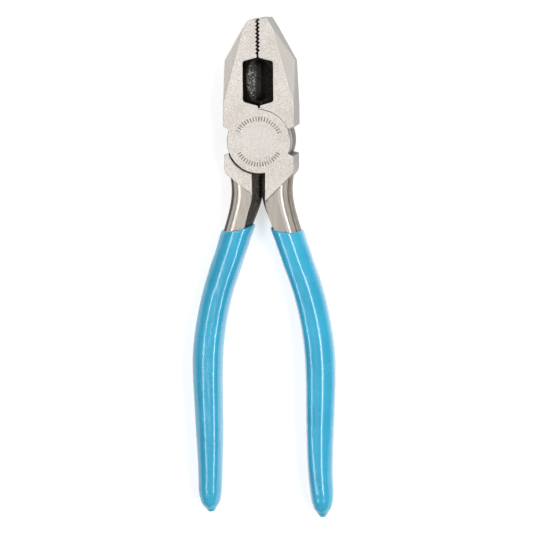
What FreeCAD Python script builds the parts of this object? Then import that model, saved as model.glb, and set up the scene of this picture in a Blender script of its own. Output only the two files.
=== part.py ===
import FreeCAD, Part
import os, math

# Side-cutting lineman pliers, lying flat with the nose along +Y and the handles along -Y.
# Row frame: +Z up, origin on the pivot axis at the lower face of the joint, millimetres.
# Two drop-forged halves cross at a flush-ground countersunk rivet in a lap joint; each handle
# wears a dip-coated vinyl grip. The front half holds the left jaw and the right handle and its
# joint disc lies on top; the rear half is the same forging turned half a turn about Y.
# Everything is drawn about the mid-plane z = 0 and lifted by T/2 at the end.

V = FreeCAD.Vector

# ---- driving dimensions, mm ----
T = 12.7                  # head and joint thickness
HT = T / 2
HEAD_HALF_W = 13.05       # half width of the closed head
LEFT_NOSE_Y = 44.35       # nose end of each jaw
RIGHT_NOSE_Y = 44.70
NOSE_HALF_W = 3.35        # half width of the nose end
SHOULDER_Y = 29.2         # where the slanted nose flanks meet the parallel sides
FACET_TOP = (5.3, 41.3)   # the sloping flank facet: where it starts on the face near the nose
FACET_END = (13.05, 12.7) # and where it runs out on the side
FACET_Z = 2.05            # half height of the side wall left at the widest corner

DISC_R = 11.7             # lap disc
JAW_SEAT_R = 11.78        # arc shoulder under the jaw that the other half's disc turns in
NECK_SEAT_R = 12.08       # the same at the handle, with more room
LAP_GAP = 0.10            # clearance between the two lap faces
LAP_BREAK = 0.45          # broken edge of each disc at the lap

KNIFE_GAP = 0.02          # half gap between the closed cutting edges
TIP_GAP = 0.27            # half gap between the closed tooth tips
TOOTH_DEPTH = 0.66
TOOTH_LAND = 0.12
CROSS_PITCH = 1.8         # lengthwise grooves that cross the teeth
CROSS_DEPTH = 0.5

WIN_HALF_W = 5.5          # cutter window, on the face
WIN_TOP = (28.95, 30.45)   # corner and apex of its upper chevron
WIN_BOTTOM = (14.6, 13.0) # corner and apex of its lower chevron
WIN_FLOOR = 2.3           # height of the window floor over the mid-plane
WIN_DRAFT = 0.25
WIN_EDGE = 0.18           # broken edge round the window
KNIFE_HALF_L = 7.4        # half length of the cutting edge
KNIFE_REACH = 4.95        # width of each dished knife bevel
KNIFE_Y = 22.0
KNIFE_LAND = 0.10         # half thickness left at the cutting edge

RIVET_R = 4.0
RIVET_HEAD_R = 5.8
RIVET_RUN = 0.05          # running clearance in the front half
RIVET_SEAT = 0.01         # in the rear half, where the rivet is fixed

NECK_IN = (2.25, 2.65)    # inner wall of the neck on the face, front half and rear half
STOP_GAP = 0.05           # half gap between the closed handle stops
EDGE = 0.25               # ground edge break on the head

COAT = 0.8                # grip coating thickness
FRONT_TIP_Y = -139.2      # end of the right grip, on the front half
REAR_TIP_Y = -136.8       # end of the left grip, on the rear half
RIM = (9.05, -32.7)       # middle of the grip's open rim
RIM_TILT = -4.0

TICK_R = 7.5              # stamped ring of plain radial marks on the joint face
TICK_L, TICK_W, TICK_D = 1.7, 0.42, 0.22

RIB_FIRST, RIB_PITCH, RIB_COUNT, RIB_DEPTH = -13.4, 1.36, 6, 0.55   # small ribs on the inner walls of the neck

# handle stations: y, centre x, lean in degrees, width across, half thickness,
# then the inner face corner and the outer face corner as fractions of the width
TANG = [
    (-8.0, 5.98, 0.0, 12.44, 5.60, 0.200, 0.665),
    (-12.0, 5.72, 0.0, 11.95, 5.60, 0.205, 0.655),
    (-16.5, 5.38, 0.0, 11.24, 5.58, 0.215, 0.645),
    (-20.5, 5.60, 4.0, 10.95, 5.54, 0.180, 0.62),
    (-24.0, 6.38, 11.0, 10.35, 5.48, 0.170, 0.61),
    (-28.0, 7.66, 16.0, 9.60, 5.40, 0.155, 0.60),
    (-33.0, 9.20, 18.0, 9.45, 5.35, 0.155, 0.59),
    (-43.8, 12.85, 18.7, 9.35, 5.32, 0.155, 0.53),
    (-52.7, 15.92, 17.0, 9.25, 5.30, 0.16, 0.53),
    (-61.6, 18.30, 12.8, 9.25, 5.30, 0.17, 0.53),
    (-70.5, 19.95, 8.0, 9.35, 5.30, 0.17, 0.53),
    (-79.4, 20.87, 3.2, 9.45, 5.30, 0.17, 0.53),
    (-88.2, 21.03, -0.3, 9.25, 5.28, 0.17, 0.53),
    (-97.1, 20.85, -1.2, 8.90, 5.22, 0.17, 0.53),
    (-106.0, 20.67, -1.1, 8.40, 5.10, 0.17, 0.53),
    (-114.9, 20.55, -0.4, 7.90, 4.90, 0.17, 0.53),
    (-123.8, 20.62, 1.0, 7.35, 4.60, 0.18, 0.53),
    (-130.0, 20.80, 2.0, 6.60, 4.10, 0.18, 0.53),
]
TANG_END = (-134.0, 20.95, 2.0, 3.6, 2.2, 0.22, 0.53)
TANG_BASE_TIP = -138.0    # the tip that the stations above are drawn for
# how far the flat's inner edge is ground back (+) or left on (-) on each half, by station
EDGE_FRONT = {-8.0: 0.3, -12.0: 0.3, -16.5: 0.3, -20.5: -0.15, -24.0: -0.45, -28.0: -0.5, -33.0: -0.2}
EDGE_REAR = {-8.0: 0.5, -12.0: 0.5, -16.5: 0.6, -20.5: 0.7, -24.0: 0.9, -28.0: 0.67, -33.0: 0.3}


def poly_face(points, z):
    pts = [V(x, y, z) for x, y in points]
    return Part.Face(Part.makePolygon(pts + [pts[0]]))


def prism(points, z0, z1):
    return poly_face(points, z0).extrude(V(0, 0, z1 - z0))


def rounded_wire(points, radii, z):
    """A closed wire of straight sides with an arc at each corner that has a radius."""
    n = len(points)
    edges, last, first = [], None, None
    for i in range(n):
        p, a, b = points[i], points[i - 1], points[(i + 1) % n]
        r = radii[i]
        p, a, b = V(p[0], p[1], z), V(a[0], a[1], z), V(b[0], b[1], z)
        if r <= 0:
            s = e = p
        else:
            u, w = (a - p).normalize(), (b - p).normalize()
            half = math.acos(max(-1, min(1, u.dot(w)))) / 2
            d = r / math.tan(half)
            s, e = p + u * d, p + w * d
            bis = (u + w).normalize()
            m = p + bis * (r / math.sin(half) - r)
        if last is not None:
            edges.append(Part.LineSegment(last, s).toShape())
        else:
            first = s
        if r > 0:
            edges.append(Part.Arc(s, m, e).toShape())
        last = e
    edges.append(Part.LineSegment(last, first).toShape())
    return Part.Wire(edges)


def half_space(origin, normal, size=90.0):
    """A box whose lower face lies on the plane and which fills the side that the normal points to."""
    b = Part.makeBox(size * 2, size * 2, size, V(-size, -size, 0))
    b.Placement = FreeCAD.Placement(V(*origin), FreeCAD.Rotation(V(0, 0, 1), V(*normal)))
    return b


def pick(shape, test):
    out = []
    for e in shape.Edges:
        m = e.valueAt((e.FirstParameter + e.LastParameter) / 2)
        if test(m, e):
            out.append(e)
    return out


def soften(shape, radius, test, name):
    """Rounds the picked edges, or chamfers them where a rounding can't be made."""
    edges = pick(shape, test)
    for make, r in ((shape.makeFillet, radius), (shape.makeFillet, radius * 0.7), (shape.makeChamfer, radius * 0.8)):
        try:
            out = make(r, edges)
            if out.isValid() and out.Volume > shape.Volume * 0.9:
                return out
        except Exception:
            pass
    print("edge break left out:", name)
    return shape


def window_tool():
    """The cutter window, both faces: a drafted pocket with chevron ends, then two dished knife bevels that meet at the cutting edges."""
    def outline(grow, z):
        w = WIN_HALF_W + grow
        pts = [(0, WIN_TOP[1] + grow), (-w, WIN_TOP[0] + grow), (-w, WIN_BOTTOM[0] - grow),
               (0, WIN_BOTTOM[1] - grow), (w, WIN_BOTTOM[0] - grow), (w, WIN_TOP[0] + grow)]
        return rounded_wire(pts, [0, 0.9 + grow, 0.9 + grow, 0, 0.9 + grow, 0.9 + grow], z)
    top = Part.makeLoft([outline(-WIN_DRAFT, WIN_FLOOR), outline(0, HT - WIN_EDGE)], True, True)
    flare = Part.makeLoft([outline(0, HT - WIN_EDGE), outline(WIN_EDGE + 0.2, HT + 0.2)], True, True)
    a, b = KNIFE_REACH, KNIFE_HALF_L
    shells = []
    low = V(0, KNIFE_Y - b, WIN_FLOOR)
    high = V(0, KNIFE_Y + b, WIN_FLOOR)
    arcs = []
    for s in (-1, 1):
        pts = [V(s * a * math.sin(math.pi * k / 16), KNIFE_Y - b * math.cos(math.pi * k / 16), WIN_FLOOR) for k in range(17)]
        c = Part.BSplineCurve()
        c.interpolate(pts)
        arcs.append(c.toShape())
    edge = Part.LineSegment(V(0, KNIFE_Y - b, KNIFE_LAND), V(0, KNIFE_Y + b, KNIFE_LAND)).toShape()
    shells = [Part.makeRuledSurface(arc, edge) for arc in arcs]
    lens = Part.Face(Part.Wire([arcs[0], arcs[1]]))
    shell = Part.makeShell([f for s in shells for f in s.Faces] + [lens])
    shell.sewShape()
    dish = Part.makeSolid(shell)
    if dish.Volume < 0:
        dish.reverse()
    front = top.fuse(flare).fuse(dish)
    return front.fuse(front.rotated(V(0, 0, 0), V(0, 1, 0), 180))


def teeth_tool(first_y, pitch, count):
    """Transverse tooth grooves and the lengthwise grooves that cross them, for the left jaw's inner face."""
    x0, depth = -TIP_GAP, TOOTH_DEPTH
    tools = []
    half = (pitch - TOOTH_LAND) / 2
    out = 0.5
    grow = half * (depth + out) / depth
    for k in range(count):
        y = first_y - k * pitch
        tools.append(prism([(x0 + out, y - grow), (x0 + out, y + grow), (x0 - depth, y)], -HT - 1, HT + 1))
    n = 3
    for k in range(-n, n):
        z = (k + 0.5) * CROSS_PITCH
        d = CROSS_DEPTH
        w = (CROSS_PITCH * 0.42) * (d + out) / d
        y0, y1 = first_y - (count - 0.5) * pitch, RIGHT_NOSE_Y + 1
        tri = Part.makePolygon([V(x0 + out, y0, z - w), V(x0 + out, y0, z + w), V(x0 - d, y0, z), V(x0 + out, y0, z - w)])
        tools.append(Part.Face(tri).extrude(V(0, y1 - y0, 0)))
    return tools


def section(station, grow=0.0):
    """One handle section as (u, z) pairs, u measured outward from the middle of the width."""
    y, x, lean, w, h, fi, fo = station
    hw = w / 2
    ui, uo = -hw + fi * w, -hw + fo * w
    um = hw
    pts = [
        (ui, h), (uo, h),
        (uo + 0.56 * (um - uo), 0.80 * h), (um - 0.06 * (um - uo), 0.40 * h),
        (um - 0.06 * (um - uo), -0.40 * h), (uo + 0.56 * (um - uo), -0.80 * h),
        (uo, -h), (ui, -h),
        (ui - 0.52 * (ui + hw), -0.66 * h), (-hw, -0.16 * h),
        (-hw, 0.16 * h), (ui - 0.52 * (ui + hw), 0.66 * h),
    ]
    return pts


def place(station, u, z, shift):
    y, x, lean = station[:3]
    c, s = math.cos(math.radians(lean)), math.sin(math.radians(lean))
    return V(x + u * c, y + shift + u * s, z)


def stretch(y, tip):
    """Stations below the knee slide so that the handle ends at its own tip."""
    k = max(0.0, min(1.0, (-60.0 - y) / 60.0))
    return (tip - TANG_BASE_TIP) * k


def tang(tip, edge):
    """The handle: flat lower and upper faces, a broadly rounded outer side and a bulged, drafted inner wall."""
    wires = []
    for st in TANG + [TANG_END]:
        y, x, lean, w, h, fi, fo = st
        hw = w / 2
        ui, uo, um = -hw + fi * w + edge.get(y, 0.0), -hw + fo * w, hw
        d = stretch(y, tip)

        def at(u, z):
            return place(st, u, z, d)
        reach = um - uo
        # rounded shoulder, sloping flank, then the trimmed parting band round the middle
        outer = [(uo, h), (uo + 0.16 * reach, h), (uo + 0.34 * reach, 0.985 * h), (uo + 0.48 * reach, 0.86 * h),
                 (uo + 0.60 * reach, 0.70 * h), (uo + 0.70 * reach, 0.56 * h), (uo + 0.75 * reach, 0.49 * h),
                 (uo + 0.96 * reach, 0.455 * h), (uo + 1.02 * reach, 0.34 * h), (uo + 1.01 * reach, 0.17 * h), (uo + 1.01 * reach, 0)]
        outer += [(u, -z) for u, z in outer[-2::-1]]
        inner = [(ui, -h), (ui - 0.40 * (ui + hw), -0.74 * h), (ui - 0.85 * (ui + hw), -0.40 * h), (-hw - 0.04 * w * fi, -0.14 * h)]
        inner += [(u, -z) for u, z in inner[::-1]]
        a = Part.BSplineCurve()
        a.buildFromPoles([at(u, z) for u, z in outer], False, 3)
        b = Part.BSplineCurve()
        b.buildFromPoles([at(u, z) for u, z in inner], False, 3)
        wires.append(Part.Wire([
            Part.LineSegment(at(ui, h), at(uo, h)).toShape(), a.toShape(),
            Part.LineSegment(at(uo, -h), at(ui, -h)).toShape(), b.toShape()]))
    body = Part.makeLoft(wires, True, False)
    if body.Volume < 0:
        body.reverse()
    return body


def coat_outline(station, grow):
    """The tang's section grown outward and eased round, as points for a smooth closed curve."""
    pts = section(station)
    n = len(pts)
    dense = []
    for i in range(n):
        a, b = pts[i], pts[(i + 1) % n]
        for k in range(4):
            t = k / 4
            dense.append((a[0] + (b[0] - a[0]) * t, a[1] + (b[1] - a[1]) * t))
    m = len(dense)
    out = []
    for i in range(m):
        a, b = dense[i - 2], dense[(i + 2) % m]
        tx, tz = b[0] - a[0], b[1] - a[1]
        q = math.hypot(tx, tz) or 1
        nx, nz = -tz / q, tx / q
        out.append((dense[i][0] + nx * grow, dense[i][1] + nz * grow))
    for _ in range(2):
        out = [tuple((out[i - 1][k] + 2 * out[i][k] + out[(i + 1) % m][k]) / 4 for k in (0, 1)) for i in range(m)]
    return out[::2]


def grip(tip, half_solid):
    """Dip-coated sleeve: the outer skin lofted round the tang, closed at the handle's end."""
    stations = [s for s in TANG if s[0] < -26]
    wires = []
    for st in stations:
        grow = COAT
        wires.append([place(st, u, z, stretch(st[0], tip)) for u, z in coat_outline(st, grow)])
    # rounded end beyond the tang
    last = stations[-1]
    end_y = tip - stretch(tip, tip)
    for f, g in ((0.40, 0.93), (0.68, 0.80), (0.86, 0.60), (0.96, 0.36), (0.995, 0.13)):
        y = last[0] + (end_y - last[0]) * f
        st = (y, last[1] + 0.15 * f, last[2], last[3], last[4], last[5], last[6])
        pts = coat_outline(last, COAT)
        wires.append([place(st, u * g, z * g, stretch(last[0], tip)) for u, z in pts])
    shapes = []
    for w in wires:
        c = Part.BSplineCurve()
        c.interpolate(Points=w, PeriodicFlag=True)
        shapes.append(Part.Wire([c.toShape()]))
    skin = Part.makeLoft(shapes, True, False)
    if skin.Volume < 0:
        skin.reverse()
    lean = math.radians(RIM_TILT)
    skin = skin.cut(half_space((RIM[0], RIM[1], 0), (-math.sin(lean), math.cos(lean), 0)))
    return skin.cut(half_solid)


def half(nose_y, nose_round, tooth_first, tooth_pitch, tooth_count, relief, neck_in, vee, tip, run, marks, edge):
    """One forging, drawn as the front half: jaw on the left, disc on top, handle on the right."""
    # jaw
    g = KNIFE_GAP
    jaw = prism([(-g, nose_y), (-NOSE_HALF_W, nose_y), (-HEAD_HALF_W, SHOULDER_Y), (-HEAD_HALF_W, 5.55),
                 (-9.0, 3.25), (-g, 3.25)], -HT, HT)
    corner = pick(jaw, lambda m, e: abs(m.x + NOSE_HALF_W) < 1e-6 and abs(m.y - nose_y) < 1e-6 and abs(m.z) < 0.1)
    jaw = jaw.makeFillet(nose_round, corner)
    ax, ay = FACET_TOP
    bx, by = FACET_END
    a, b, c = V(-ax, ay, HT), V(-bx, by, HT), V(-HEAD_HALF_W, SHOULDER_Y, FACET_Z)
    n = (b - a).cross(c - a).normalize()
    if n.z < 0:
        n = n * -1
    jaw = jaw.cut(half_space((a.x, a.y, a.z), (n.x, n.y, n.z)))
    jaw = jaw.cut(half_space((a.x, a.y, -a.z), (n.x, n.y, -n.z)))

    def jaw_edges(m, e):
        if m.x > -1.0 or m.y < 4.4:
            return False
        return True
    jaw = soften(jaw, EDGE, jaw_edges, "jaw")

    # neck block, ground flush with the head, cut off on the diagonal where the handle starts
    neck = prism([(neck_in + 0.2, -7.0), (9.0, -3.55), (10.7, -4.35), (12.75, -5.0), (12.75, -10.3), (12.15, -11.9)]
                 + vee + [(neck_in, vee[-1][1] - 0.6), (neck_in, -17.0)], -HT, HT)

    def neck_edges(m, e):
        r = math.hypot(m.x, m.y)
        return r > 11.3 and m.x > 4.0 and (abs(m.z) > 1 or m.x > 12.0)
    neck = soften(neck, EDGE, neck_edges, "neck")

    handle = tang(tip, edge)
    body = neck.fuse(handle)

    disc = Part.makeCylinder(DISC_R, HT - LAP_GAP / 2, V(0, 0, LAP_GAP / 2))
    disc = disc.makeChamfer(LAP_BREAK, pick(disc, lambda m, e: abs(m.z - LAP_GAP / 2) < 1e-6))
    disc = soften(disc, 0.3, lambda m, e: abs(m.z - HT) < 1e-6 and abs(math.hypot(m.x, m.y) - DISC_R) < 0.01, "disc")

    body = body.fuse(jaw)
    # the other half's disc turns in this seat
    seat = Part.makeCylinder(NECK_SEAT_R, HT + 1 + LAP_GAP / 2, V(0, 0, -HT - 1))
    seat = seat.common(half_space((0, 0, 0), (0, -1, 0))).fuse(Part.makeCylinder(JAW_SEAT_R, HT + 1 + LAP_GAP / 2, V(0, 0, -HT - 1)))
    body = body.cut(seat)
    body = body.fuse(disc)
    # handle stop land
    body = body.cut(Part.makeBox(40, 60, T + 4, V(-40 + STOP_GAP, -64, -HT - 2)).cut(Part.makeCylinder(DISC_R + 0.05, T + 6, V(0, 0, -HT - 3))))

    # ribs on the inner wall of the neck
    for k in range(RIB_COUNT):
        y = RIB_FIRST - k * RIB_PITCH
        for z0, z1 in ((-2.8, -0.6), (0.6, 2.8)):
            body = body.cut(prism([(STOP_GAP, y - 0.5), (0.9, y - 0.45), (0.9 + RIB_DEPTH, y), (0.9, y + 0.45), (STOP_GAP, y + 0.5)], z0, z1))

    # jaw faces: set back at the teeth and in the relief under the window
    body = body.cut(Part.makeBox(1.0, 18.0, T + 4, V(-TIP_GAP, WIN_TOP[1] - 1.0, -HT - 2)))
    body = body.cut(Part.makeBox(2.0, 1.75, T + 4, V(-relief, JAW_SEAT_R + 0.35, -HT - 2)))
    body = body.cut(Part.makeBox(2.0, 1.9, T + 4, V(-0.36, WIN_TOP[1] - 0.1, -HT - 2)))
    for t in teeth_tool(tooth_first, tooth_pitch, tooth_count):
        body = body.cut(t)
    body = body.cut(window_tool())

    # pivot hole and countersink
    depth = RIVET_HEAD_R - RIVET_R
    hole = Part.makeCylinder(RIVET_R + run, T + 4, V(0, 0, -HT - 2))
    sink = Part.makeCone(RIVET_R + run, RIVET_HEAD_R + run, depth, V(0, 0, HT - depth))
    cap = Part.makeCylinder(RIVET_HEAD_R + run, 1.0, V(0, 0, HT))
    body = body.cut(hole.fuse(sink).fuse(cap))

    if marks:
        ticks = []
        for lo, hi, n in ((24, 153, 19), (211, 329, 18)):
            for k in range(n):
                t = Part.makeBox(TICK_L, TICK_W, 1.0, V(TICK_R, -TICK_W / 2, HT - TICK_D))
                ticks.append(t.rotated(V(0, 0, 0), V(0, 0, 1), lo + (hi - lo) * k / (n - 1)))
        body = body.cut(Part.makeCompound(ticks))
    return body, handle


def turned(shape):
    return shape.rotated(V(0, 0, 0), V(0, 1, 0), 180)


def lifted(shape):
    return shape.translated(V(0, 0, HT))


def rivet():
    depth = RIVET_HEAD_R - RIVET_R
    shank = Part.makeCylinder(RIVET_R, T, V(0, 0, -HT))
    up = Part.makeCone(RIVET_R, RIVET_HEAD_R, depth, V(0, 0, HT - depth))
    down = Part.makeCone(RIVET_HEAD_R, RIVET_R, depth, V(0, 0, -HT))
    return shank.fuse(up).fuse(down).removeSplitter()


def one_solid(shape, name):
    solids = shape.Solids
    if len(solids) != 1:
        solids = sorted(solids, key=lambda s: -s.Volume)
        print(name, "has", len(solids), "solids:", [round(s.Volume, 3) for s in solids])
    return solids[0]


def main():
    os.makedirs("parts", exist_ok=True)
    front, front_tang = half(LEFT_NOSE_Y, 3.1, 43.4, 1.425, 9, 0.12, NECK_IN[0], [(5.9, -18.2), (3.4, -20.7)],
                             FRONT_TIP_Y, RIVET_RUN, True, EDGE_FRONT)
    rear, rear_tang = half(RIGHT_NOSE_Y, 0.5, 44.05, 1.375, 9, 0.75, NECK_IN[1], [(6.5, -16.6), (3.0, -19.1)],
                           REAR_TIP_Y, RIVET_SEAT, False, EDGE_REAR)
    nodes = {
        "front_half": front,
        "rear_half": turned(rear),
        "pivot_rivet": rivet(),
        "right_grip": grip(FRONT_TIP_Y, front_tang),
        "left_grip": turned(grip(REAR_TIP_Y, rear_tang)),
    }
    for name, shape in nodes.items():
        s = lifted(one_solid(shape, name))
        print(name, "valid", s.isValid(), "volume", round(s.Volume, 1), "faces", len(s.Faces),
              "box", [round(v, 2) for v in (s.BoundBox.XMin, s.BoundBox.YMin, s.BoundBox.ZMin, s.BoundBox.XMax, s.BoundBox.YMax, s.BoundBox.ZMax)])
        s.exportStep("parts/%s.step" % name)


main()
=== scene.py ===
import bpy, bmesh, math
from mathutils import Vector, Matrix, noise
import numpy as np

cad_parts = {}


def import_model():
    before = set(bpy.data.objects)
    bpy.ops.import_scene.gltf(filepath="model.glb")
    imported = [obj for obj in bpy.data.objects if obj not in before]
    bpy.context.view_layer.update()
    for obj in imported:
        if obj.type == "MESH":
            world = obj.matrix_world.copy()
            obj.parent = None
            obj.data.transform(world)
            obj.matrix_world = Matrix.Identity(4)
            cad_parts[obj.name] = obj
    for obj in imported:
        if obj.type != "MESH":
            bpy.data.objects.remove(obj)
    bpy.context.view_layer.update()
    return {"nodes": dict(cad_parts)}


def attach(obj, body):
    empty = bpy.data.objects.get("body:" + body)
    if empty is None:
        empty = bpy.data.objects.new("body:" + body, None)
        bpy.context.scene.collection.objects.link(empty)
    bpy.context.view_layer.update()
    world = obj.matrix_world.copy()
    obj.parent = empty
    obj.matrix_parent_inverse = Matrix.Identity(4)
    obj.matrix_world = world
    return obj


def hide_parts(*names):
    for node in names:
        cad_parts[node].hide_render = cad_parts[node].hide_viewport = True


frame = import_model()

MM = 0.001
HT = 6.35                       # half of the head's thickness, mm
S = bpy.context.scene


# ------------------------------------------------------------------ node helpers
class Mat:
    """A small builder for node materials. Lengths in the object's own frame, in metres."""

    def __init__(self, name):
        self.m = bpy.data.materials.new(name)
        self.m.use_nodes = True
        self.t = self.m.node_tree
        self.t.nodes.clear()
        self.out = self.t.nodes.new("ShaderNodeOutputMaterial")
        self.co = self.t.nodes.new("ShaderNodeTexCoord")
        self.sep = self.t.nodes.new("ShaderNodeSeparateXYZ")
        self.link(self.co.outputs["Object"], self.sep.inputs[0])

    def link(self, a, b):
        self.t.links.new(a, b)

    def put(self, sock, v):
        if isinstance(v, bpy.types.NodeSocket):
            self.link(v, sock)
        elif v is not None:
            sock.default_value = v

    def math(self, op, a, b=None, c=None, clamp=False):
        n = self.t.nodes.new("ShaderNodeMath")
        n.operation = op
        n.use_clamp = clamp
        self.put(n.inputs[0], a)
        if b is not None:
            self.put(n.inputs[1], b)
        if c is not None:
            self.put(n.inputs[2], c)
        return n.outputs[0]

    def mul(self, a, b): return self.math("MULTIPLY", a, b)
    def add(self, a, b): return self.math("ADD", a, b)
    def sub(self, a, b): return self.math("SUBTRACT", a, b)
    def absv(self, a): return self.math("ABSOLUTE", a)
    def low(self, a, b): return self.math("MINIMUM", a, b)
    def high(self, a, b): return self.math("MAXIMUM", a, b)

    def step(self, v, a, b, lo=0.0, hi=1.0):
        """Smooth ramp of v from lo at a to hi at b."""
        n = self.t.nodes.new("ShaderNodeMapRange")
        n.interpolation_type = "SMOOTHSTEP"
        flip = a > b
        self.put(n.inputs["Value"], v)
        n.inputs["From Min"].default_value = b if flip else a
        n.inputs["From Max"].default_value = a if flip else b
        n.inputs["To Min"].default_value = hi if flip else lo
        n.inputs["To Max"].default_value = lo if flip else hi
        return n.outputs[0]

    def band(self, v, a, b, soft):
        """1 between a and b, falling to 0 over soft on both sides."""
        return self.mul(self.step(v, a - soft, a), self.step(v, b + soft, b))

    def scaled(self, sx, sy, sz, src=None, rot=(0, 0, 0)):
        n = self.t.nodes.new("ShaderNodeMapping")
        self.link(src or self.co.outputs["Object"], n.inputs["Vector"])
        n.inputs["Scale"].default_value = (sx, sy, sz)
        n.inputs["Rotation"].default_value = rot
        return n.outputs[0]

    def noise(self, vec, scale, detail=3.0, rough=0.55, distortion=0.0, lac=2.0):
        n = self.t.nodes.new("ShaderNodeTexNoise")
        self.link(vec or self.co.outputs["Object"], n.inputs["Vector"])
        n.inputs["Scale"].default_value = scale
        n.inputs["Detail"].default_value = detail
        n.inputs["Roughness"].default_value = rough
        n.inputs["Distortion"].default_value = distortion
        n.inputs["Lacunarity"].default_value = lac
        return n.outputs["Fac"]

    def voronoi(self, vec, scale, feature="F1", out="Distance"):
        n = self.t.nodes.new("ShaderNodeTexVoronoi")
        n.feature = feature
        self.link(vec or self.co.outputs["Object"], n.inputs["Vector"])
        n.inputs["Scale"].default_value = scale
        return n.outputs[out]

    def mix(self, f, a, b):
        n = self.t.nodes.new("ShaderNodeMix")
        n.data_type = "RGBA"
        self.put(n.inputs["Factor"], f)
        for s, v in ((n.inputs[6], a), (n.inputs[7], b)):
            if isinstance(v, bpy.types.NodeSocket):
                self.link(v, s)
            else:
                s.default_value = (*v, 1.0)
        return n.outputs[2]

    def mixf(self, f, a, b):
        n = self.t.nodes.new("ShaderNodeMix")
        n.data_type = "FLOAT"
        self.put(n.inputs["Factor"], f)
        self.put(n.inputs[2], a)
        self.put(n.inputs[3], b)
        return n.outputs[0]

    def ramp(self, v, stops):
        n = self.t.nodes.new("ShaderNodeValToRGB")
        self.put(n.inputs[0], v)
        e = n.color_ramp.elements
        while len(e) < len(stops):
            e.new(0.5)
        for k, (p, c) in enumerate(stops):
            e[k].position = p
            e[k].color = (*c, 1.0)
        return n.outputs[0]

    def bump(self, height, strength, distance, normal=None):
        n = self.t.nodes.new("ShaderNodeBump")
        self.put(n.inputs["Height"], height)
        self.put(n.inputs["Strength"], strength)
        n.inputs["Distance"].default_value = distance
        if normal is not None:
            self.link(normal, n.inputs["Normal"])
        return n.outputs[0]

    def shader(self, color, rough, metal, normal=None, **fixed):
        n = self.t.nodes.new("ShaderNodeBsdfPrincipled")
        self.put(n.inputs["Base Color"], color if isinstance(color, bpy.types.NodeSocket) else (*color, 1.0))
        self.put(n.inputs["Roughness"], rough)
        self.put(n.inputs["Metallic"], metal)
        if normal is not None:
            self.link(normal, n.inputs["Normal"])
        for k, v in fixed.items():
            n.inputs[k].default_value = v
        self.link(n.outputs[0], self.out.inputs["Surface"])
        return n


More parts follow.
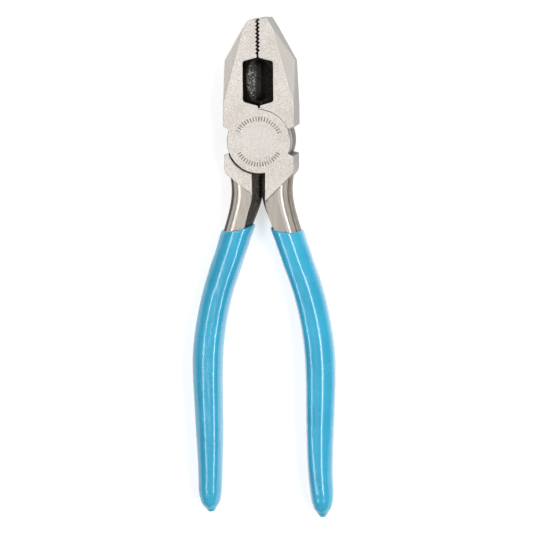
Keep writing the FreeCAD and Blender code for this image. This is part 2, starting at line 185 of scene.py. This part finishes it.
# ------------------------------------------------------------------ steel
def steel(name, side):
    """Satin ground head, darker as-forged handles, black scale in the hollows. side is the sign of X of this half's handle; 0 for the rivet."""
    k = Mat(name)
    x, y, z = (k.sep.outputs[i] for i in range(3))
    zc = k.absv(k.sub(z, HT * MM))                       # height over the mid-plane, either way
    ax = k.absv(x)
    nsep = k.t.nodes.new("ShaderNodeSeparateXYZ")
    k.link(k.co.outputs["Normal"], nsep.inputs[0])
    nx, ny, nz = (nsep.outputs[i] for i in range(3))
    upness = k.absv(nz)

    # where the black forging scale stays
    wander = k.mul(k.sub(k.noise(None, 900, 3), 0.5), 0.00030)
    depth = k.add(zc, wander)
    deep = k.mul(k.step(depth, (HT - 0.02) * MM, (HT - 0.13) * MM), k.step(zc, (HT - 0.006) * MM, (HT - 0.02) * MM))
    window = k.mul(k.mul(k.step(ax, 5.9 * MM, 5.75 * MM), k.band(y, 11.9 * MM, 30.9 * MM, 0.05 * MM)), deep)
    split = k.mul(k.mul(k.step(ax, 1.25 * MM, 1.10 * MM), k.step(y, 30.3 * MM, 30.6 * MM)),
                  k.mul(k.step(zc, (HT - 0.02) * MM, (HT - 0.09) * MM), k.step(k.absv(ny), 0.985, 0.97)))
    parts = [window, split]
    if side:
        inward = k.mul(nx, -float(side))
        wall = k.mul(k.step(inward, 0.16, 0.30), k.step(y, -11.0 * MM, -12.2 * MM))
        wall = k.mul(wall, k.step(k.mul(x, float(side)), 13.5 * MM, 12.5 * MM))
        notch = k.mul(k.step(k.mul(x, float(side)), 3.2 * MM, 2.9 * MM), k.mul(k.step(y, -11.2 * MM, -12.0 * MM), k.step(y, -23.0 * MM, -21.0 * MM)))
        notch = k.mul(notch, k.step(zc, 5.7 * MM, 5.45 * MM))
        # the pocket where the other half's disc runs under the shoulder
        px, py = k.sub(k.mul(x, float(side)), 12.1 * MM), k.sub(y, -4.5 * MM)
        pocket = k.step(k.math("SQRT", k.add(k.mul(px, px), k.mul(py, py))), 1.35 * MM, 1.0 * MM)
        pocket = k.mul(pocket, k.mul(k.step(upness, 0.97, 0.9), k.step(k.absv(nx), 0.97, 0.9)))
        parts += [wall, notch, pocket]
    # the lap line round the joint, and the seats
    r = k.math("SQRT", k.add(k.mul(x, x), k.mul(y, y)))
    lap = k.mul(k.step(zc, 0.62 * MM, 0.42 * MM), k.mul(k.step(r, 9.0 * MM, 10.0 * MM), k.step(r, 13.4 * MM, 12.9 * MM)))
    lap = k.mul(lap, k.step(k.absv(y), 12.2 * MM, 12.0 * MM))
    parts.append(lap)
    black = parts[0]
    for p in parts[1:]:
        black = k.high(black, p)

    # as-forged handles below the ground head
    flat = k.mul(k.step(upness, 0.985, 0.999), k.step(zc, (HT - 0.05) * MM, (HT - 0.02) * MM))
    forged = k.mul(k.step(y, -10.5 * MM, -12.5 * MM), k.sub(1.0, flat))
    # the trimmed parting band round the middle of the handle, and painted shade along the concave corner above it
    outward = k.step(k.mul(nx, float(side or 1)), -0.2, 0.1)
    low_band = k.mul(k.mul(forged, k.step(zc, 2.78 * MM, 2.64 * MM)), outward)
    corner_shade = k.mul(k.mul(forged, k.band(zc, 2.62 * MM, 2.90 * MM, 0.12 * MM)), outward)

    # grain: belt-ground along the tool, over a fine all-round tooth
    along = k.noise(k.scaled(1, 0.045, 1), 5200, 3, 0.6)
    fine = k.noise(None, 3000, 4, 0.65)
    mid = k.noise(None, 620, 3, 0.6)
    broad = k.noise(None, 75, 2, 0.5)
    cross = k.noise(k.scaled(0.06, 1, 1, rot=(0, 0, 0.35)), 3600, 2, 0.6)

    # colours
    ground = k.mix(k.step(broad, 0.25, 0.75), (0.572, 0.530, 0.488), (0.652, 0.611, 0.570))
    ground = k.mix(k.step(fine, 0.34, 0.68), k.mix(0.17, ground, (0.30, 0.27, 0.245)), ground)
    ground = k.mix(k.mul(k.step(k.noise(None, 2500, 2, 0.7), 0.53, 0.68), 0.62), ground, (0.93, 0.90, 0.87))
    ground = k.mix(k.mul(k.step(k.noise(None, 2100, 3, 0.7), 0.49, 0.36), 0.85), ground, (0.43, 0.39, 0.355))
    ground = k.mix(k.mul(k.step(along, 0.50, 0.72), 0.12), ground, (0.42, 0.39, 0.36))
    streak = k.noise(k.scaled(1, 0.12, 1), 900, 3, 0.6)
    rawc = k.mix(k.step(streak, 0.3, 0.7), (0.372, 0.337, 0.300), (0.437, 0.398, 0.359))
    rawc = k.mix(k.mul(k.step(fine, 0.50, 0.66), 0.25), rawc, (0.36, 0.32, 0.28))
    # painted highlight: the rounded outer shoulder of each handle painted lighter, as a broad highlight
    shoulder_highlight = k.mul(k.mul(k.band(upness, 0.72, 0.9990, 0.0006), k.step(zc, 4.2 * MM, 4.7 * MM)), k.mul(forged, k.step(k.mul(nx, float(side or 1)), 0.01, 0.04)))
    rawc = k.mix(k.mul(shoulder_highlight, 0.70), rawc, (0.70, 0.655, 0.605))
    rawc = k.mix(k.mul(low_band, 0.8), rawc, k.mix(k.step(mid, 0.3, 0.7), (0.222, 0.192, 0.158), (0.275, 0.240, 0.202)))
    rawc = k.mix(k.mul(corner_shade, 0.80), rawc, (0.105, 0.086, 0.072))
    bright = k.mix(forged, ground, rawc)
    # brown oxide in the low places
    if not side:
        bright = k.mix(0.30, bright, (0.600, 0.575, 0.565))
    stain = k.mul(k.step(k.noise(None, 210, 4, 0.6), 0.56, 0.74), 0.10)
    bright = k.mix(stain, bright, (0.36, 0.28, 0.21))
    scale_c = k.mix(k.step(k.noise(None, 1100, 4, 0.7), 0.42, 0.70), (0.0045, 0.0033, 0.0022), (0.0150, 0.0115, 0.0082))
    # painted light on the head's bevel facets: lighter colour, stronger on the rear half (0.92) than on the front half
    # (0.42)
    facet_light = k.mul(k.mul(k.band(upness, 0.64, 0.78, 0.03), k.step(y, 10.0 * MM, 11.5 * MM)), k.sub(1.0, window))
    bright = k.mix(k.mul(facet_light, 0.42 if side > 0 else 0.92), bright, (0.85, 0.80, 0.755))
    # painted shade: the side walls of the head, picked by their sideways normals, painted darker grey than the face
    sidewall_shade = k.mul(k.mul(k.step(upness, 0.45, 0.15), k.sub(1.0, forged)), 0.85)
    bright = k.mix(sidewall_shade, bright, k.mix(k.step(mid, 0.3, 0.7), (0.252, 0.247, 0.237), (0.312, 0.306, 0.294)))
    # grime in the stamped marks
    mark = k.mul(k.mul(k.step(zc, (HT - 0.03) * MM, (HT - 0.10) * MM), k.band(r, 7.2 * MM, 9.5 * MM, 0.1 * MM)), k.step(zc, (HT - 0.6) * MM, (HT - 0.5) * MM))
    worn = k.step(k.noise(None, 420, 3, 0.6), 0.30, 0.60)
    bright = k.mix(k.mul(mark, k.mixf(worn, 0.60, 0.95)), bright, (0.135, 0.108, 0.090))
    # the disc's rim wall painted darker along both its edges, and over the wall of the other half's disc
    rimwall = k.mul(k.mul(k.step(r, 11.0 * MM, 11.3 * MM), k.step(r, 12.4 * MM, 12.1 * MM)), k.mul(k.step(upness, 0.9, 0.6), k.step(k.absv(y), 6.2 * MM, 5.6 * MM)))
    rim_edge_bands = k.high(k.step(zc, 5.3 * MM, 6.1 * MM), k.step(zc, 1.9 * MM, 0.9 * MM))
    far = k.step(k.mul(x, -float(side or 1)), 0.0, 1.0 * MM)
    bright = k.mix(k.mul(rimwall, k.high(k.mul(rim_edge_bands, 0.85), k.mul(far, 0.70))), bright, (0.085, 0.078, 0.072))
    # painted shade packed along the lower left seat, on the land beside it, widening the dark gap there
    seat_shade = k.mul(k.mul(k.band(r, 12.0 * MM, 12.32 * MM, 0.08 * MM), k.step(k.mul(k.sub(z, HT * MM), -float(side or 1)), (HT - 0.5) * MM, (HT - 0.3) * MM)),
                 k.mul(k.step(k.mul(x, float(side or 1)), 0.5 * MM, 2.5 * MM), k.step(y, -4.6 * MM, -5.6 * MM)))
    bright = k.mix(k.mul(seat_shade, 0.80 if side else 0.0), bright, (0.12, 0.10, 0.085))
    sweep = k.mul(k.step(ax, 9.0 * MM, 10.0 * MM), k.mul(k.step(y, -3.0 * MM, -4.0 * MM), k.step(y, -9.0 * MM, -7.0 * MM)))
    bright = k.mix(k.mul(sweep, k.mul(k.step(upness, 0.9, 0.6), 0.18)), bright, (0.16, 0.14, 0.125))
    # the knife bevel of each jaw: a painted highlight in a D, lighter scale with bright painted glints on metallic
    # flecks, strongest on one face of each half
    dx, dy = k.mul(k.sub(ax, 1.5 * MM), 1 / 3.7), k.mul(k.sub(y, 22.0 * MM), 1 / 7.6)
    dee_highlight = k.step(k.math("SQRT", k.add(k.mul(dx, dx), k.mul(dy, dy))), 1.04 * MM, 0.86 * MM)
    dee_highlight = k.mul(dee_highlight, k.step(ax, 1.3 * MM, 2.1 * MM))
    dee_lit_face = k.step(k.mul(k.sub(z, HT * MM), float(side or 1)), -0.1 * MM, 0.1 * MM)
    fleck_glints = k.mul(k.mul(k.step(k.noise(None, 1500, 2, 0.8), 0.50, 0.62), window), k.mul(dee_highlight, k.mixf(dee_lit_face, 0.15, 1.0)))
    scale_c = k.mix(k.mul(k.mul(dee_highlight, window), k.mixf(dee_lit_face, 0.1, 0.7)), scale_c, (0.030, 0.027, 0.024))
    scale_c = k.mix(k.mul(fleck_glints, 0.85), scale_c, (0.27, 0.26, 0.25))
    scale_c = k.mix(k.sub(1.0, window), scale_c, k.mix(k.step(mid, 0.3, 0.7), (0.036, 0.029, 0.024), (0.110, 0.092, 0.078)))
    color = k.mix(black, bright, scale_c)

    # edges rubbed bright, partly real wear and partly a painted highlight along every edge
    bev = k.t.nodes.new("ShaderNodeBevel")
    bev.samples = 4
    bev.inputs["Radius"].default_value = 0.22 * MM
    geo = k.t.nodes.new("ShaderNodeNewGeometry")
    dot = k.t.nodes.new("ShaderNodeVectorMath")
    dot.operation = "DOT_PRODUCT"
    k.link(bev.outputs[0], dot.inputs[0])
    k.link(geo.outputs["Normal"], dot.inputs[1])
    edge_wear_highlight = k.mul(k.step(dot.outputs["Value"], 0.985, 0.86), k.mul(k.sub(1.0, black), k.sub(1.0, k.high(low_band, corner_shade))))
    color = k.mix(k.mul(edge_wear_highlight, 0.35), color, (0.93, 0.91, 0.89))

    rough = k.mixf(k.step(fine, 0.3, 0.7), 0.40, 0.50)
    rough = k.mixf(forged, rough, k.mixf(k.step(mid, 0.3, 0.7), 0.40, 0.47))
    rough = k.mixf(low_band, rough, 0.55)
    rough = k.mixf(k.mul(edge_wear_highlight, 0.6), rough, 0.27)
    rough = k.mixf(black, rough, k.mixf(k.step(k.noise(None, 1700, 2), 0.4, 0.65), 0.62, 0.34))
    metal = k.mixf(black, 1.0, k.mixf(fleck_glints, k.mixf(window, 0.30, 0.72), 1.0))

    # relief
    gh = k.add(k.mul(along, 0.6), k.add(k.mul(fine, 0.55), k.mul(cross, 0.15)))
    bh = k.add(k.mul(k.voronoi(None, 1500), 0.55), k.mul(k.noise(None, 1400, 4, 0.65), 0.9))
    n1 = k.bump(gh, k.mixf(black, k.mixf(forged, 0.40, 0.16), 0.0), 0.00004)
    n2 = k.bump(k.noise(k.scaled(1, 0.25, 1), 300, 3, 0.5), k.mixf(forged, 0.02, 0.10), 0.00020, n1)
    n3 = k.bump(bh, k.mul(black, 0.85), 0.00022, n2)
    k.shader(color, rough, metal, n3)
    return k.m


def vinyl(name, seed):
    k = Mat(name)
    x, y, z = (k.sep.outputs[i] for i in range(3))
    vec = k.scaled(1, 1, 1)
    off = k.t.nodes.new("ShaderNodeVectorMath")
    off.operation = "ADD"
    k.link(vec, off.inputs[0])
    off.inputs[1].default_value = (seed, seed * 0.7, 0)
    v = off.outputs[0]
    broad = k.noise(v, 60, 2)
    mott = k.noise(v, 520, 3, 0.55)
    fine = k.noise(v, 2600, 2, 0.6)
    c = k.mix(k.step(broad, 0.3, 0.7), (0.024, 0.345, 0.545), (0.036, 0.402, 0.605))
    c = k.mix(k.mul(k.step(mott, 0.35, 0.70), 0.16), c, (0.020, 0.275, 0.465))
    c = k.mix(k.mul(k.step(fine, 0.56, 0.72), 0.10), c, (0.20, 0.60, 0.80))
    # rubbed and handled places
    wear = k.mul(k.step(k.noise(v, 150, 4, 0.6), 0.55, 0.80), 0.04)
    c = k.mix(wear, c, (0.10, 0.45, 0.66))
    rough = k.mixf(k.step(k.noise(v, 95, 3), 0.35, 0.7), 0.22, 0.29)
    rough = k.mixf(wear, rough, 0.40)
    h = k.add(k.mul(k.noise(k.scaled(1, 0.35, 1), 190, 3, 0.5), 0.8), k.mul(mott, 0.2))
    n = k.bump(h, 0.16, 0.0005)
    n = k.bump(fine, 0.05, 0.00005, n)
    s = k.shader(c, rough, 0.0, n, **{"IOR": 1.53, "Coat Weight": 0.8, "Coat Roughness": 0.145, "Coat IOR": 1.5,
                                      "Subsurface Weight": 0.0, "Subsurface Radius": (0.3, 0.7, 1.0), "Subsurface Scale": 0.0012})
    return k.m


def pale_floor():
    k = Mat("studio_floor")
    n = k.noise(None, 3.0, 2)
    c = k.mix(n, (0.58, 0.58, 0.58), (0.595, 0.595, 0.595))
    k.shader(c, 0.9, 0.0, None, **{"Specular IOR Level": 0.15, "Emission Color": (1.0, 1.0, 1.0, 1.0), "Emission Strength": 0.60})
    return k.m


# ------------------------------------------------------------------ grips
# Handle stations in mm: y, centre x, lean in degrees, width of the coat, half thickness. They follow the CAD tang.
STATIONS = [
    (-27.0, 7.36, 15.2, 11.15, 6.16),
    (-31.0, 8.60, 17.4, 11.05, 6.12),
    (-36.0, 10.23, 18.4, 11.00, 6.10),
    (-43.8, 12.85, 18.7, 10.95, 6.08),
    (-52.7, 15.92, 17.0, 10.85, 6.05),
    (-61.6, 18.30, 12.8, 10.85, 6.05),
    (-70.5, 19.95, 8.0, 10.95, 6.05),
    (-79.4, 20.87, 3.2, 11.05, 6.05),
    (-88.2, 21.03, -0.3, 10.85, 6.03),
    (-97.1, 20.85, -1.2, 10.50, 5.98),
    (-106.0, 20.67, -1.1, 10.00, 5.88),
    (-114.9, 20.55, -0.4, 9.50, 5.70),
    (-123.8, 20.62, 1.0, 9.00, 5.42),
    (-130.0, 20.80, 2.0, 8.72, 5.00),
]
BASE_TIP = -138.0


def catmull(xs, ys, t):
    """Smooth interpolation of ys over falling xs at t."""
    n = len(xs)
    for i in range(n - 1):
        if xs[i] >= t >= xs[i + 1] or i == n - 2:
            break
    h = xs[i + 1] - xs[i]
    u = (t - xs[i]) / h
    def slope(j):
        if j <= 0:
            return (ys[1] - ys[0]) / (xs[1] - xs[0])
        if j >= n - 1:
            return (ys[-1] - ys[-2]) / (xs[-1] - xs[-2])
        return (ys[j + 1] - ys[j - 1]) / (xs[j + 1] - xs[j - 1])
    m0, m1 = slope(i) * h, slope(i + 1) * h
    return ((2 * u**3 - 3 * u**2 + 1) * ys[i] + (u**3 - 2 * u**2 + u) * m0 + (-2 * u**3 + 3 * u**2) * ys[i + 1] + (u**3 - u**2) * m1)


def closed_bspline(ctrl, count):
    """Uniform closed cubic B-spline through the control polygon, sampled evenly."""
    c = np.array(ctrl, float)
    n = len(c)
    out = []
    for k in range(count):
        s = k / count * n
        i = int(s)
        u = s - i
        p = [c[(i + d) % n] for d in (-1, 0, 1, 2)]
        b = [(1 - u)**3 / 6, (3 * u**3 - 6 * u**2 + 4) / 6, (-3 * u**3 + 3 * u**2 + 3 * u + 1) / 6, u**3 / 6]
        out.append(sum(w * q for w, q in zip(b, p)))
    return np.array(out)


RING = 120


def coat_section(w, h, soft):
    """Section of the coat, (u, z), u from the inner side (-) to the outer side (+). soft from 0, crisp ridges, to 1, a plain oval."""
    f = 1 - soft
    hw = w / 2
    ci, co = -hw + 0.225 * w, -hw + 0.63 * w
    top = [(-hw, 0.20 * h), (-hw + 0.040 * w, 0.56 * h), (ci - 0.115 * w, 0.855 * h), (ci, 0.995 * h), (ci + 0.105 * w, 1.012 * h),
           ((ci + co) / 2, 1.004 * h), (co - 0.105 * w, 1.012 * h), (co, 1.0 * h), (co + 0.115 * w, 0.885 * h),
           (hw - 0.105 * w, 0.65 * h), (hw - 0.012 * w, 0.44 * h), (hw, 0.15 * h)]
    ctrl = top + [(u, -v) for u, v in top[::-1]]
    crisp = closed_bspline(ctrl, RING)
    if soft > 0:
        ang = np.arctan2(crisp[:, 1] / h, crisp[:, 0] / hw)
        oval = np.stack([hw * 0.97 * np.cos(ang), h * 0.97 * np.sin(ang)], 1)
        crisp = crisp * f + oval * soft
    return crisp


def smooth01(t):
    t = max(0.0, min(1.0, t))
    return t * t * (3 - 2 * t)


def grip(name, side, tip, body, node, material, seed, nub, rim, taper):
    """Dip-coated handle grip: soft ridges over the tang's flats, a rolled open rim and a rounded end with a drip."""
    ys = [s[0] for s in STATIONS]
    cols = list(zip(*STATIONS))

    def at(y0):
        return [catmull(ys, c, y0) for c in cols[1:]]

    def slide(y0):
        k = max(0.0, min(1.0, (-60.0 - y0) / 60.0))
        return (tip - BASE_TIP) * k

    verts, rings = [], []

    def ring(points):
        rings.append(range(len(verts), len(verts) + len(points)))
        verts.extend(points)

    def world(cx, lean, y, u, z):
        c, s = math.cos(math.radians(lean)), math.sin(math.radians(lean))
        # turned half about Y for the other handle, so both are the same forging
        px, py, pz = cx + u * c, y + u * s, z
        return (side * px, py, HT + side * pz)

    def rim_shift(u, z, w, h, lean):
        """How far up the handle the dip line reaches at this point of the section, against its mean."""
        v = min(1.0, abs(z) / h)
        line = rim[0] - rim[1] * u / 5.5 - rim[2] * v**2.2 + 0.10 * math.sin(u * 1.3 + seed * 3.0)
        return line - rim_y - u * math.sin(math.radians(lean))

    def end(y0, w):
        """Taper of the last stretch against the plain section, and how far its middle has wandered off."""
        s = y0 - BASE_TIP
        ratio = min(1.0, float(np.interp(s, *zip(*taper))) / (w / 2))
        ratio = 1 + (ratio - 1) * smooth01((16.5 - s) / 4.0)
        return ratio, nub[0] * smooth01((20.0 - s) / 16.0) + nub[1] * smooth01((2.1 - s) / 1.5)

    def crowned(base, y0, w):
        f = 0.045 * smooth01((y0 + 68.0) / 30.0)
        um = -w / 2 + 0.4275 * w
        return [(u, z * (1 + f * max(0.0, 1 - ((u - um) / 3.0) ** 2))) for u, z in base]

    rim_y = -32.3
    lip = []
    # inner sleeve, hidden against the steel, then the rolled rim, then the outer skin
    cx, lean, w, h = at(rim_y)
    lean0 = lean
    prof = [(-4.5, -0.95), (-1.2, -0.95), (-0.35, -0.86), (-0.07, -0.66), (0.0, -0.42), (-0.03, -0.20), (-0.18, -0.05), (-0.55, 0.03), (-1.3, 0.10), (-2.6, 0.07), (-4.2, 0.01)]
    sec_w, sec_h = w, h
    for dy, grow in prof:
        base = crowned(coat_section(*at(rim_y + dy)[2:], 0.0), rim_y + dy, w)
        pts = []
        for i, (u, z) in enumerate(base):
            a, b = base[i - 1], base[(i + 1) % RING]
            tx, tz = b[0] - a[0], b[1] - a[1]
            q = math.hypot(tx, tz) or 1.0
            nu, nz = -tz / q, tx / q
            if nu * u + nz * z < 0:
                nu, nz = -nu, -nz
            uu, zz = u + nu * grow, z + nz * grow
            y0 = rim_y + dy
            y0 += rim_shift(u, z, sec_w, sec_h, lean0) * smooth01((dy + 20.0) / 20.0)
            cx, lean, w, h = at(y0)
            pts.append(world(cx, lean, y0, uu, zz))
        ring(pts)
    # body of the grip
    first = rim_y - 5.0
    last = -130.0
    count = 150
    for k in range(count):
        y0 = first + (last - first) * k / (count - 1)
        soft = 0.55 * smooth01((-106.0 - y0) / 24.0)
        base = crowned(coat_section(*at(y0)[2:], soft), y0, at(y0)[2])
        pts = []
        for i, (u, z) in enumerate(base):
            # slow run-off of the dip, with fuller ripples close under the rim
            ripple = 0.11 * smooth01((y0 + 62.0) / 14.0) * smooth01((-36.5 - y0) / 4.0)
            wob = 0.045 * noise.noise(Vector((u * 0.16 + seed, y0 * 0.075, z * 0.16))) + 0.03 * noise.noise(Vector((u * 0.5, y0 * 0.22 + seed, z * 0.5)))
            wob += ripple * noise.noise(Vector((u * 0.33 - seed, y0 * 0.17, z * 0.2)))
            q = math.hypot(u, z)
            uu, zz = u * (1 + wob / q * 1.0), z * (1 + wob / q)
            yi = y0 + rim_shift(u, z, sec_w, sec_h, lean0) * smooth01((y0 - rim_y + 20.0) / 20.0)
            cx, lean, w, h = at(yi)
            ratio, off = end(y0, w)
            pts.append(world(cx + off, lean, yi + slide(yi), uu * ratio, zz * ratio))
        ring(pts)
    # rounded end
    y_end = BASE_TIP
    cx0, tip_lean, w0, h0 = at(last)
    steps = 40
    for k in range(1, steps + 1):
        t = k / steps
        y0 = last + (y_end - last) * math.sin(t * math.pi / 2)
        c = math.cos(t * math.pi / 2)
        g, off = end(y0, w0)
        base = coat_section(w0, h0, 0.55 + 0.45 * smooth01(t * 1.6))
        d = slide(y0)
        pts = [world(cx0 + off, tip_lean * (1 - t), y0 + d, u * g, z * g) for u, z in base]
        if k == steps:
            centre = np.mean(np.array(pts), 0)
            verts.append(tuple(centre))
            break
        ring(pts)
    me = bpy.data.meshes.new(name)
    bm = bmesh.new()
    vs = [bm.verts.new(Vector(v) * MM) for v in verts]
    for a, b in zip(rings[:-1], rings[1:]):
        for i in range(RING):
            j = (i + 1) % RING
            bm.faces.new((vs[a[i]], vs[a[j]], vs[b[j]], vs[b[i]]))
    tipv = vs[-1]
    lastr = rings[-1]
    for i in range(RING):
        bm.faces.new((vs[lastr[i]], vs[lastr[(i + 1) % RING]], tipv))
    # close the hidden sleeve inside the steel
    r0 = rings[0]
    c0 = sum((vs[i].co for i in r0), Vector()) / RING
    cv = bm.verts.new(c0)
    for i in range(RING):
        bm.faces.new((vs[r0[(i + 1) % RING]], vs[r0[i]], cv))
    bmesh.ops.recalc_face_normals(bm, faces=bm.faces)
    for f in bm.faces:
        f.smooth = True
    bm.to_mesh(me)
    bm.free()
    o = bpy.data.objects.new(name, me)
    S.collection.objects.link(o)
    me.materials.append(material)
    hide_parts(node)
    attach(o, body)
    return o


def set_material(node, material):
    o = frame["nodes"][node]
    if not o.data.materials:
        o.data.materials.append(material)
    for i in range(len(o.material_slots)):
        o.material_slots[i].material = material
    return o


set_material("front_half", steel("steel_front_half", 1))
set_material("rear_half", steel("steel_rear_half", -1))
set_material("pivot_rivet", steel("steel_rivet", 0))

grip("grip_right", 1, -139.0, "front", "right_grip", vinyl("vinyl_right", 3.1), 0.4, (0.50, 0.05), (-32.3, 0.5, 0.7),
     [(0, 0.45), (0.08, 0.85), (0.3, 1.17), (1.0, 1.73), (1.75, 2.15), (2.5, 2.70), (3.2, 3.20), (3.95, 3.48), (4.7, 3.67), (6.1, 4.05), (10.0, 4.45), (16.5, 4.9)])
grip("grip_left", -1, -137.9, "rear", "left_grip", vinyl("vinyl_left", 7.7), 1.9, (-0.08, -0.28), (-31.85, 0.95, 0.75),
     [(0, 0.30), (0.06, 0.75), (0.2, 1.17), (0.5, 1.50), (0.85, 1.66), (1.2, 1.90), (1.95, 2.52), (2.7, 3.07), (3.4, 3.45), (4.1, 3.70), (6.0, 4.12), (8.0, 4.36), (12.0, 4.55), (16.5, 4.9)])

# ------------------------------------------------------------------ floor, light, camera
fm = bpy.data.meshes.new("floor")
R = 3.0
fm.from_pydata([(-R, -R, 0), (R, -R, 0), (R, R, 0), (-R, R, 0)], [], [(0, 1, 2, 3)])
floor = bpy.data.objects.new("floor", fm)
floor.location = (0, 0, -0.00005)
S.collection.objects.link(floor)
fm.materials.append(pale_floor())

world = bpy.data.worlds.new("studio")
S.world = world
world.use_nodes = True
wt = world.node_tree
bg = wt.nodes["Background"]
tc = wt.nodes.new("ShaderNodeTexCoord")
sx = wt.nodes.new("ShaderNodeSeparateXYZ")
wt.links.new(tc.outputs["Generated"], sx.inputs[0])
wr = wt.nodes.new("ShaderNodeMapRange")
wr.interpolation_type = "SMOOTHSTEP"
wt.links.new(sx.outputs[2], wr.inputs["Value"])
wr.inputs["From Min"].default_value = 0.05
wr.inputs["From Max"].default_value = 0.85
wr.inputs["To Min"].default_value = 0.13
wr.inputs["To Max"].default_value = 0.27
wt.links.new(wr.outputs[0], bg.inputs[1])
bg.inputs[0].default_value = (1.0, 1.0, 1.0, 1)


def softbox(name, at, aim, sx, sy, energy, color=(1, 1, 1), spread=180):
    d = bpy.data.lights.new(name, "AREA")
    d.shape = "RECTANGLE"
    d.size, d.size_y = sx, sy
    d.energy = energy
    d.color = color
    d.spread = math.radians(spread)
    o = bpy.data.objects.new(name, d)
    o.location = at
    z = (Vector(at) - Vector(aim)).normalized()
    y = Vector((0, 1, 0))
    x = y.cross(z).normalized()
    y = z.cross(x)
    o.matrix_world = Matrix.Translation(Vector(at)) @ Matrix((x, y, z)).transposed().to_4x4()
    S.collection.objects.link(o)
    return o


softbox("key_right", (0.60, 0.05, 0.80), (0.0, -0.04, 0.0), 0.24, 1.2, 8.2)
softbox("fill_left", (-0.42, -0.05, 1.00), (0.0, -0.05, 0.0), 0.18, 1.2, 4.4)
softbox("top_back", (0.0, 0.75, 0.95), (0.0, 0.0, 0.0), 1.2, 0.5, 2.0)

# the camera of the fitted viewpoint
AZ, EL, ROLL, FW, DIST = 10.59, 6.9, -0.608, 0.19503, 1.2
TX, TY = 0.00129, -0.04631
d = Vector((math.sin(math.radians(AZ)), math.sin(math.radians(EL)), 1.0)).normalized()
cam = bpy.data.cameras.new("camera")
co = bpy.data.objects.new("camera", cam)
S.collection.objects.link(co)
cx = Vector((0, 1, 0)).cross(d).normalized()
cy = d.cross(cx)
r = math.radians(ROLL)
M = Matrix((cx * math.cos(r) + cy * math.sin(r), -cx * math.sin(r) + cy * math.cos(r), d)).transposed().to_4x4()
M.translation = Vector((TX, TY, HT * MM)) + d * DIST
co.matrix_world = M
cam.sensor_width = 36
cam.lens = 36 * DIST / FW
cam.clip_start = 0.05
cam.clip_end = 20
S.camera = co

S.view_settings.view_transform = "Standard"
S.view_settings.look = "None"

bpy.context.view_layer.update()
